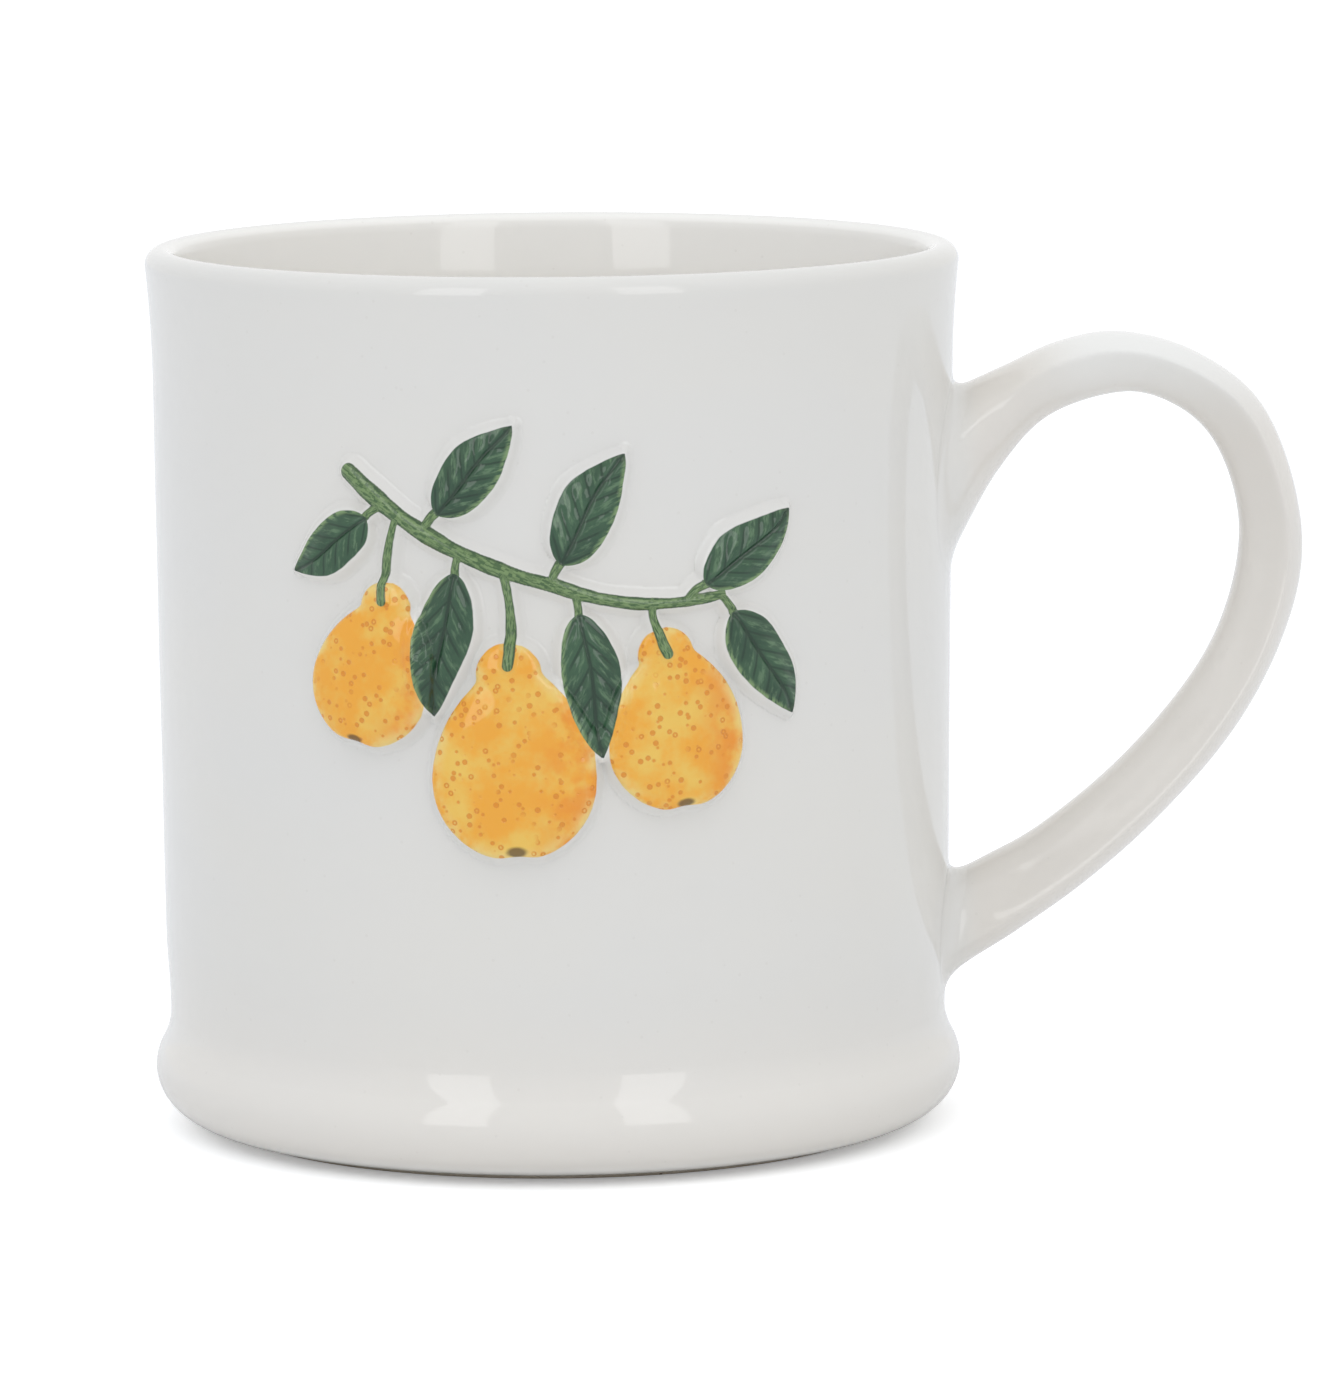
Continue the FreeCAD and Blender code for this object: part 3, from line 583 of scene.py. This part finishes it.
def spline(rows, steps):
    """A smooth curve through rows of numbers, evenly stepped between them."""
    rows = np.asarray(rows, float)
    padded = np.vstack([2 * rows[0] - rows[1], rows, 2 * rows[-1] - rows[-2]])
    out = []
    for a, b, c, d in zip(padded, padded[1:], padded[2:], padded[3:]):
        gaps = [max(1e-6, np.linalg.norm((q - p)[:4]) ** 0.5) for p, q in ((a, b), (b, c), (c, d))]
        into = (c - b) / gaps[1] - (c - a) / (gaps[0] + gaps[1]) + (b - a) / gaps[0]
        away = (d - c) / gaps[2] - (d - b) / (gaps[1] + gaps[2]) + (c - b) / gaps[1]
        into, away = into * gaps[1], away * gaps[1]
        for t in np.arange(steps) / steps:
            out.append((2 * t ** 3 - 3 * t ** 2 + 1) * b + (t ** 3 - 2 * t ** 2 + t) * into
                       + (3 * t ** 2 - 2 * t ** 3) * c + (t ** 3 - t ** 2) * away)
    out.append(rows[-1])
    return np.array(out)


def ridged_section():
    """A section with a soft ridge along each side, nearer its outer face: a curve guided by corners."""
    guide = np.array(RIDGE_GUIDE + [(through, -across) for through, across in reversed(RIDGE_GUIDE)])
    steps = SECTION_STEPS * 8 // len(guide)
    curve = []
    for before, here, after in zip(np.roll(guide, 1, 0), guide, np.roll(guide, -1, 0)):
        start, end = (before + here) / 2, (here + after) / 2
        for t in np.arange(steps) / steps:
            curve.append((1 - t) ** 2 * start + 2 * t * (1 - t) * here + t ** 2 * end)
    return np.array(curve)


def handle_rings():
    """Rings of points round the strap, from inside the upper root to inside the lower one."""
    turn = 2 * math.pi * np.arange(SECTION_STEPS) / SECTION_STEPS
    bend = 2 / OVAL_POWER
    oval = np.stack([np.sign(np.cos(turn)) * np.abs(np.cos(turn)) ** bend,
                     np.sign(np.sin(turn)) * np.abs(np.sin(turn)) ** bend], -1)
    curve = ridged_section()
    bearing = np.unwrap(np.arctan2(curve[:, 1], curve[:, 0]))
    order = np.argsort(bearing % (2 * math.pi))
    facing = (bearing % (2 * math.pi))[order]
    ridged = np.stack([np.interp(turn, facing, curve[order, axis], period=2 * math.pi)
                       for axis in range(2)], -1)
    rings = []
    for row in spline(HANDLE, SWEEP_STEPS):
        outer, inner, wide, sharpness = row[0:2], row[2:4], row[4], row[5]
        through, across = (oval + (ridged - oval) * sharpness).T
        middle, reach = (outer + inner) / 2, (outer - inner) / 2
        rings.append(np.stack([
            RIM + middle[0] + reach[0] * through,
            wide / 2 * across,
            HALF + middle[1] + reach[1] * through,
        ], -1))
    return np.array(rings)


def ring_faces(count, around, first=0):
    """Faces between rings of points that follow each other."""
    faces = []
    for ring in range(count - 1):
        for k in range(around):
            n = (k + 1) % around
            low, high = first + ring * around, first + (ring + 1) * around
            faces.append([low + k, low + n, high + n, high + k])
    return faces


def depth_in_wall(points):
    """How far outside the wall each point lies; negative is inside."""
    angle = np.arctan2(points[..., 0], -points[..., 1])
    return np.hypot(points[..., 0], points[..., 1]) - wall_radius(angle, points[..., 2])


def make_handle():
    rings = handle_rings()
    wave = STRAP_WAVE * np.sin(0.21 * rings[..., 0] + 0.3 * rings[..., 2] + 0.4 * rings[..., 1])
    middle = rings.mean(1, keepdims=True)
    out = rings - middle
    rings = rings + out / np.linalg.norm(out, axis=-1, keepdims=True) * (wave - STRAP_WAVE)[..., None]
    points = rings.reshape(-1, 3)
    faces = ring_faces(len(rings), SECTION_STEPS)
    last = len(points) - SECTION_STEPS
    faces.append(list(range(SECTION_STEPS))[::-1])
    faces.append(list(range(last, len(points))))
    sharp = [(k, (k + 1) % SECTION_STEPS) for k in range(SECTION_STEPS)]
    sharp += [(last + k, last + (k + 1) % SECTION_STEPS) for k in range(SECTION_STEPS)]
    piece("strap_handle", points, turned_out(points, faces), WHITE, ["handle"], sharp=sharp)
    return rings


def make_joint(name, node, rings, on_strap, on_wall_by):
    """The collar of slip at one root: a hollow curve from the wall onto the strap, all the way round.

    rings run outwards from inside the wall. The collar reaches on_strap along
    the strap and on_wall_by over the wall.
    """
    depth = depth_in_wall(rings)
    around = rings.shape[1]
    sections = []
    for k in range(around):
        line = rings[:, k]
        out = depth[:, k]
        cross = int(np.argmax(out > 0))
        share = -out[cross - 1] / (out[cross] - out[cross - 1])
        root = line[cross - 1] + share * (line[cross] - line[cross - 1])
        steps = np.linalg.norm(np.diff(line[cross:], axis=0), axis=1)
        walked = np.concatenate([[0], np.cumsum(steps)]) + np.linalg.norm(line[cross] - root)
        top = np.array([np.interp(on_strap, walked, line[cross:, axis]) for axis in range(3)])
        centre = rings[cross].mean(0)
        away = root - centre
        outward = np.array([root[0], root[1], 0.0]) / math.hypot(root[0], root[1])
        away = away - outward * away.dot(outward)
        away = away / np.linalg.norm(away)
        foot = root + away * on_wall_by
        angle = math.atan2(foot[0], -foot[1])
        facing = np.array([math.sin(angle), -math.cos(angle), 0.0])
        foot = facing * (float(wall_radius(angle, foot[2])) + 0.004) + (0, 0, foot[2])
        bend = root - facing * (root - foot).dot(facing)
        t = np.linspace(0, 1, JOINT_STEPS + 1)[:, None]
        curve = (1 - t) ** 2 * foot + 2 * t * (1 - t) * bend + t ** 2 * (top + 0.01 * away)
        inside = root - 0.5 * outward - 0.5 * away
        sections.append(np.vstack([curve, inside]))
    sections = np.array(sections)
    size = sections.shape[1]
    points = sections.reshape(-1, 3)
    faces, sharp = [], []
    for k in range(around):
        n = (k + 1) % around
        for j in range(size):
            m = (j + 1) % size
            faces.append([k * size + j, n * size + j, n * size + m, k * size + m])
        for j in (0, size - 2, size - 1):
            sharp.append((k * size + j, n * size + j))
    return piece(name, points, turned_out(points, faces), WHITE, [node], sharp=sharp)


strap = make_handle()
make_joint("slip_upper", "handle_joint_upper", strap[:SWEEP_STEPS * 3], on_strap=2.6, on_wall_by=2.0)
make_joint("slip_lower", "handle_joint_lower", strap[::-1][:SWEEP_STEPS * 3], on_strap=2.2, on_wall_by=1.8)


# Sprig

LEAF_RISE = 1.00
LEAF_PUFF = 0.50
PEAR_RISE = 2.30
STEM_RISE = 0.90
SKIRT = 1.10


def smooth(value, low, high):
    """0 below low, 1 above high, smooth between."""
    t = np.clip((value - low) / (high - low), 0, 1)
    return t * t * (3 - 2 * t)


def skirt(inside, edge):
    """The glazed slope round a raised piece: it leaves the wall gently and rounds over inside the outline."""
    t = np.clip((inside + SKIRT) / (SKIRT + edge), 0, 1)
    return t ** 3 * (10 - 15 * t + 6 * t ** 2)


def leaf_field(name, across_grid, up_grid):
    """Distance in from a leaf's outline, and the places along and across it."""
    foot_x, foot_y, turn, length, left, right = LEAVES[name]
    way = math.radians(turn)
    dx, dy = across_grid - foot_x, up_grid - HALF - foot_y
    along = (-math.sin(way) * dx + math.cos(way) * dy) / length
    beside = math.cos(way) * dx + math.sin(way) * dy
    held = np.clip(along, 0, 1)
    shape = 2.62 * held ** 0.60 * (1 - held) ** 0.86
    wave = 1 + 0.03 * np.sin(11 * held + foot_x)
    rib = 0.35 * (right - left) * np.sin(math.pi * held) + 0.35 * np.sin(2 * math.pi * held + foot_x) * held
    off = beside - rib
    half = (left + right) / 2 * shape * wave
    past = np.maximum(0, np.maximum(-along, along - 1)) * length
    inside = np.where(past > 0, -np.hypot(past, np.abs(off)), (half - np.abs(off)) * 0.9)
    return inside, held, off / (left + right)


def pear_field(name, across_grid, up_grid):
    """Distance in from a pear's outline, and the places along and across it."""
    middle_x, middle_y, lean, belly, neck, span = PEARS[name]
    way = math.radians(lean)
    dx, dy = across_grid - middle_x, up_grid - HALF - middle_y
    along = -math.sin(way) * dx + math.cos(way) * dy
    beside = math.cos(way) * dx + math.sin(way) * dy
    inside = np.full_like(dx, -99.0)
    for t in np.linspace(0, 1, 40):
        radius = neck + (belly - neck) * (0.5 + 0.5 * math.cos(math.pi * t)) ** 0.9
        gap = np.hypot(along - t * span, beside - 0.35 * math.sin(math.pi * t))
        inside = np.maximum(inside, radius - gap)
    dent = 0.5 * np.exp(-((along + belly) / 1.2) ** 2 - (beside / 1.5) ** 2)
    return inside - dent, (along + belly) / (span + neck + belly), beside / (2 * belly)


def stem_field(across_grid, up_grid):
    """Distance in from the outline of all the stems, and the places along and across them."""
    inside = np.full_like(across_grid, -99.0)
    along, across = np.zeros_like(inside), np.zeros_like(inside)
    for from_x, from_y, to_x, to_y, bow, thick, thin in STEMS:
        length = math.hypot(to_x - from_x, to_y - from_y)
        left = ((from_y - to_y) / length, (to_x - from_x) / length)
        for t in np.linspace(0, 1, 60):
            bulge = 4 * bow * t * (1 - t)
            x = from_x + (to_x - from_x) * t + left[0] * bulge
            y = from_y + (to_y - from_y) * t + left[1] * bulge
            gap = np.hypot(across_grid - x, up_grid - HALF - y)
            radius = (thick + (thin - thick) * t) / 2 * (1 + 0.07 * math.sin(0.9 * length * t + from_x))
            nearer = radius - gap > inside
            inside = np.where(nearer, radius - gap, inside)
            along = np.where(nearer, t * length / 10, along)
            side = (across_grid - x) * left[0] + (up_grid - HALF - y) * left[1]
            across = np.where(nearer, side / (2 * radius), across)
    return inside, along, across


def pick(fields):
    """At each place, the values of whichever of the fields lies deepest inside its outline."""
    stack = np.array([field[0] for field in fields])
    best = stack.argmax(0)
    values = [np.array([field[k] for field in fields]) for k in range(3)]
    return [np.take_along_axis(value, best[None], 0)[0] for value in values] + [best]


def leaf_height(inside, along, across):
    """A leaf's puffed halves, with a groove for the midrib and shallower ones for the side veins."""
    body = LEAF_RISE * skirt(inside, 0.35) + LEAF_PUFF * smooth(inside, 0.0, 1.7)
    groove = 0.32 * np.exp(-(across / 0.04) ** 2) * smooth(inside, 0.0, 0.6)
    phase = 2 * math.pi * VEIN_PAIRS * (along - VEIN_SWEEP * np.abs(across))
    veins = 0.11 * (0.5 + 0.5 * np.cos(phase)) ** 3
    veins = veins * smooth(inside, 0.1, 0.9) * smooth(np.abs(across), 0.02, 0.09)
    return body - groove - veins


def pear_height(inside, belly):
    """A pear's shallow dome."""
    up = np.clip(inside / (0.85 * belly), 0, 1)
    return 0.60 * PEAR_RISE * skirt(inside, 0.5) + 0.40 * PEAR_RISE * np.sqrt(1 - (1 - up) ** 2)


def eased(height, passes):
    """The same heights with their steps softened."""
    for _ in range(passes):
        padded = np.pad(height, 1, mode="edge")
        beside = padded[2:, 1:-1] + padded[:-2, 1:-1] + padded[1:-1, 2:] + padded[1:-1, :-2]
        height = (2 * height + beside) / 6
    return height


def make_sprig():
    across_line = np.arange(*SPRIG_ACROSS, GRID_STEP)
    up_line = np.arange(HALF + SPRIG_UP[0], HALF + SPRIG_UP[1], GRID_STEP)
    across_grid, up_grid = np.meshgrid(across_line, up_line, indexing="ij")
    pears = [pear_field(name, across_grid, up_grid) for name in PEARS]
    leaves = [leaf_field(name, across_grid, up_grid) for name in LEAVES]
    stems = stem_field(across_grid, up_grid)
    fruit = np.zeros_like(across_grid)
    for field, row in zip(pears, PEARS.values()):
        fruit = np.maximum(fruit, pear_height(field[0], row[3]))
    stem = STEM_RISE * skirt(stems[0] - 0.1, 0.3) + 0.28 * smooth(stems[0], 0.0, 0.8)
    height = np.maximum(fruit, 0.72 * fruit + stem)
    leaf = np.zeros_like(fruit)
    for field in leaves:
        leaf = np.maximum(leaf, leaf_height(*field))
    height = height + (eased(height, 60) - height) * smooth(leaf, 0.1, 0.6)
    height = np.maximum(height * (1 - 0.12 * smooth(leaf, 0.3, 0.8)) + 0.9 * leaf * smooth(height, 0.2, 0.9),
                        np.maximum(height, leaf))
    layers = {}
    for name, fields in (("leaf", leaves), ("fruit", pears), ("stem", [stems])):
        inside, along, across, which = pick(fields)
        layers[name] = np.stack([inside, along, across + 0.5, which / 8.0], -1)
    places = on_wall(across_grid, up_grid, height + SPRIG_PROUD)
    normals = np.cross(np.gradient(places, axis=0), np.gradient(places, axis=1))
    normals /= np.linalg.norm(normals, axis=-1, keepdims=True)
    backs = on_wall(across_grid, up_grid, SPRIG_BACK)
    fields = leaves + [stems] + pears
    reach = np.array([field[0] for field in fields])
    owner = np.where((height > 0.006) & (reach.max(0) > -SKIRT), reach.argmax(0), -1)
    for index in range(len(fields) - 1, -1, -1):
        owner = np.where(reach[index] > 0, index, owner)
    for index, name in enumerate(list(LEAVES) + ["branch"] + list(PEARS)):
        material, slot = (YELLOW, "yellow_underglaze") if name in PEARS else (GREEN, "green_underglaze")
        press(name, largest(owner[:-1, :-1] == index), places, backs, normals, layers, material)


def largest(cells):
    """The largest patch of cells that touch side to side, with no cells that meet only at a corner."""
    count = 0
    labels = np.zeros(cells.shape, int)
    sizes = {}
    for start in zip(*np.nonzero(cells)):
        if labels[start]:
            continue
        count += 1
        labels[start] = count
        stack, size = [start], 0
        while stack:
            i, j = stack.pop()
            size += 1
            for a, b in ((i + 1, j), (i - 1, j), (i, j + 1), (i, j - 1)):
                if 0 <= a < cells.shape[0] and 0 <= b < cells.shape[1] and cells[a, b] and not labels[a, b]:
                    labels[a, b] = count
                    stack.append((a, b))
        sizes[count] = size
    kept = labels == max(sizes, key=sizes.get)
    changed = True
    while changed:
        one = kept[:-1, :-1] & kept[1:, 1:] & ~kept[1:, :-1] & ~kept[:-1, 1:]
        two = kept[1:, :-1] & kept[:-1, 1:] & ~kept[:-1, :-1] & ~kept[1:, 1:]
        changed = bool(one.any() or two.any())
        kept[1:, :-1] |= one
        kept[:-1, :-1] |= two
    return kept


def press(name, cells, places, backs, normals, layers, material):
    """One closed piece of the relief: its front, a back sunk in the wall, and the sides between them."""
    used = np.zeros(places.shape[:2], bool)
    for a in (0, 1):
        for b in (0, 1):
            used[a:a + cells.shape[0], b:b + cells.shape[1]] |= cells
    number = np.full(used.shape, -1)
    number[used] = np.arange(used.sum())
    total = int(used.sum())
    points = np.vstack([places[used], backs[used]])
    faces, loops = [], []
    flat = [0.0, 0.0, 0.0]
    for i, j in zip(*np.nonzero(cells)):
        ring = [(i, j), (i + 1, j), (i + 1, j + 1), (i, j + 1)]
        front = [int(number[p]) for p in ring]
        faces.append(front)
        loops += [normals[p] for p in ring]
        faces.append([total + v for v in reversed(front)])
        loops += [flat] * 4
        for (p, q), (di, dj) in zip(zip(ring, ring[1:] + ring[:1]), ((0, -1), (1, 0), (0, 1), (-1, 0))):
            a, b = i + di, j + dj
            if 0 <= a < cells.shape[0] and 0 <= b < cells.shape[1] and cells[a, b]:
                continue
            faces.append([int(number[q]), int(number[p]), total + int(number[p]), total + int(number[q])])
            loops += [flat] * 4
    painted = {layer: np.vstack([values[used]] * 2) for layer, values in layers.items()}
    return piece(name + "_pressed", points, faces, material, [name], normals=loops, layers=painted)


make_sprig()


# Floor, light and camera

def flat_card(name, centre, facing, wide, tall, material):
    """A flat rectangle for the floor or a light panel."""
    direction = Vector(facing).normalized()
    side = Vector((0, 0, 1)).cross(direction)
    side = Vector((1, 0, 0)) if side.length < 1e-6 else side.normalized()
    rise = direction.cross(side)
    corners = [Vector(centre) + side * a * wide / 2 + rise * b * tall / 2
               for a, b in ((-1, -1), (1, -1), (1, 1), (-1, 1))]
    mesh = bpy.data.meshes.new(name)
    mesh.from_pydata([tuple(c) for c in corners], [], [(0, 1, 2, 3)])
    mesh.materials.append(material)
    made = bpy.data.objects.new(name, mesh)
    bpy.context.scene.collection.objects.link(made)
    return made


FLOOR_SIDE = 24.0
FLOOR_TONE = 0.96
FLOOR_LIFT = 0.50
FLOOR_WHITE = 0.3


def make_floor():
    """A pale floor that shows white and keeps the mug's shadow."""
    nodes = Nodes("floor")
    seen = nodes.add("LightPath").outputs["Is Camera Ray"]
    diffuse = nodes.add("BsdfDiffuse")
    tone = nodes.math("ADD", nodes.math("MULTIPLY", seen, FLOOR_LIFT), FLOOR_TONE)
    nodes.put(diffuse.inputs["Color"], nodes.combine(tone, tone, tone))
    white = nodes.add("Emission")
    nodes.put(white.inputs["Strength"], 1.0)
    both = nodes.add("MixShader")
    nodes.put(both.inputs[0], nodes.math("MULTIPLY", seen, FLOOR_WHITE))
    nodes.put(both.inputs[1], diffuse.outputs[0])
    nodes.put(both.inputs[2], white.outputs[0])
    nodes.tree.nodes.remove(nodes.shader)
    output = nodes.tree.nodes["Material Output"]
    nodes.put(output.inputs["Surface"], both.outputs[0])
    return flat_card("floor", (0, 0, -0.0002), (0, 0, 1), FLOOR_SIDE, FLOOR_SIDE, nodes.material)


SKY_LEVEL = 0.375
SKY_ABOVE = 0.98
SKY_FRONT = 0.26
SKY_LEFT = (0.950, 0.985, 1.045, 1)
SKY_RIGHT = (0.975, 0.990, 1.010, 1)
SOFTBOX_TURN = 28.0
SOFTBOX_FAR = 1.3
SOFTBOX_WIDE = 0.42
SOFTBOX_LOW = 0.005
SOFTBOX_HIGH = 1.35
SOFTBOX_LIGHT = 2.6


def make_softboxes():
    """Two tall soft panels, one to each side of the camera."""
    nodes = Nodes("softbox")
    light = nodes.add("Emission")
    nodes.put(light.inputs["Color"], (1.0, 1.0, 1.0))
    nodes.put(light.inputs["Strength"], SOFTBOX_LIGHT)
    nodes.tree.nodes.remove(nodes.shader)
    nodes.put(nodes.tree.nodes["Material Output"].inputs["Surface"], light.outputs[0])
    for name, turn in (("softbox_left", -SOFTBOX_TURN), ("softbox_right", SOFTBOX_TURN)):
        way = math.radians(turn)
        middle = (SOFTBOX_LOW + SOFTBOX_HIGH) / 2
        centre = (SOFTBOX_FAR * math.sin(way), -SOFTBOX_FAR * math.cos(way), middle)
        panel = flat_card(name, centre, (-math.sin(way), math.cos(way), 0),
                          SOFTBOX_WIDE, SOFTBOX_HIGH - SOFTBOX_LOW, nodes.material)
        panel.visible_camera = False
        panel.visible_diffuse = False


def make_world():
    """White surroundings, which light the mug most from above and a little more from the front."""
    world = bpy.data.worlds.new("studio")
    bpy.context.scene.world = world
    world.use_nodes = True
    tree = world.node_tree

    def add(kind, *inputs, **settings):
        node = tree.nodes.new("ShaderNode" + kind)
        for key, value in settings.items():
            setattr(node, key, value)
        for socket, value in zip(node.inputs, inputs):
            if hasattr(value, "links"):
                tree.links.new(value, socket)
            else:
                socket.default_value = value
        return node.outputs

    path = add("LightPath")
    seen = add("Math", path["Is Camera Ray"], path["Is Glossy Ray"], operation="MAXIMUM")[0]
    seen = add("Math", seen, path["Is Transmission Ray"], operation="MAXIMUM")[0]
    way = add("SeparateXYZ", add("TexCoord")["Generated"])
    above = add("Math", way["Z"], 0.0, operation="MAXIMUM")[0]
    light = add("Math", above, SKY_ABOVE, SKY_LEVEL, operation="MULTIPLY_ADD")[0]
    light = add("Math", way["Y"], -SKY_FRONT, light, operation="MULTIPLY_ADD")[0]
    aside = add("MapRange", way["X"], -1.0, 1.0, 0.0, 1.0)[0]
    add("Mix", data_type="RGBA")
    mix = tree.nodes[-1]
    tree.links.new(aside, mix.inputs[0])
    mix.inputs[6].default_value = SKY_LEFT
    mix.inputs[7].default_value = SKY_RIGHT
    tree.nodes["Background"].name = "lighting"
    lighting = tree.nodes["lighting"]
    tree.links.new(mix.outputs[2], lighting.inputs["Color"])
    tree.links.new(light, lighting.inputs["Strength"])
    white = add("Background", (1, 1, 1, 1), 1.0)
    both = add("MixShader", seen, lighting.outputs[0], white[0])
    tree.links.new(both[0], tree.nodes["World Output"].inputs["Surface"])


# The photograph's frame in pixels, and the camera fitted to its outline
PHOTO_HIGH = 1390
FOCAL_PIXELS = 8462
AIM = (12.02, 0.0, 45.26)
DISTANCE = 900.0
ELEVATION = 7.84
ROLL = 0.39


def make_camera():
    data = bpy.data.cameras.new("camera")
    camera = bpy.data.objects.new("camera", data)
    bpy.context.scene.collection.objects.link(camera)
    bpy.context.scene.camera = camera
    data.sensor_width = 36.0
    data.lens = data.sensor_width * FOCAL_PIXELS / PHOTO_HIGH
    rise = math.radians(ELEVATION)
    back = Vector((0, -math.cos(rise), math.sin(rise)))
    camera.location = (Vector(AIM) + back * DISTANCE) * MM
    turn = (-back).to_track_quat("-Z", "Y").to_matrix() @ Matrix.Rotation(math.radians(-ROLL), 3, "Z")
    camera.rotation_euler = turn.to_euler()
    data.clip_start, data.clip_end = 0.05, 50.0


make_floor()
make_softboxes()
make_world()
make_camera()
bpy.context.scene.view_settings.view_transform = "Standard"
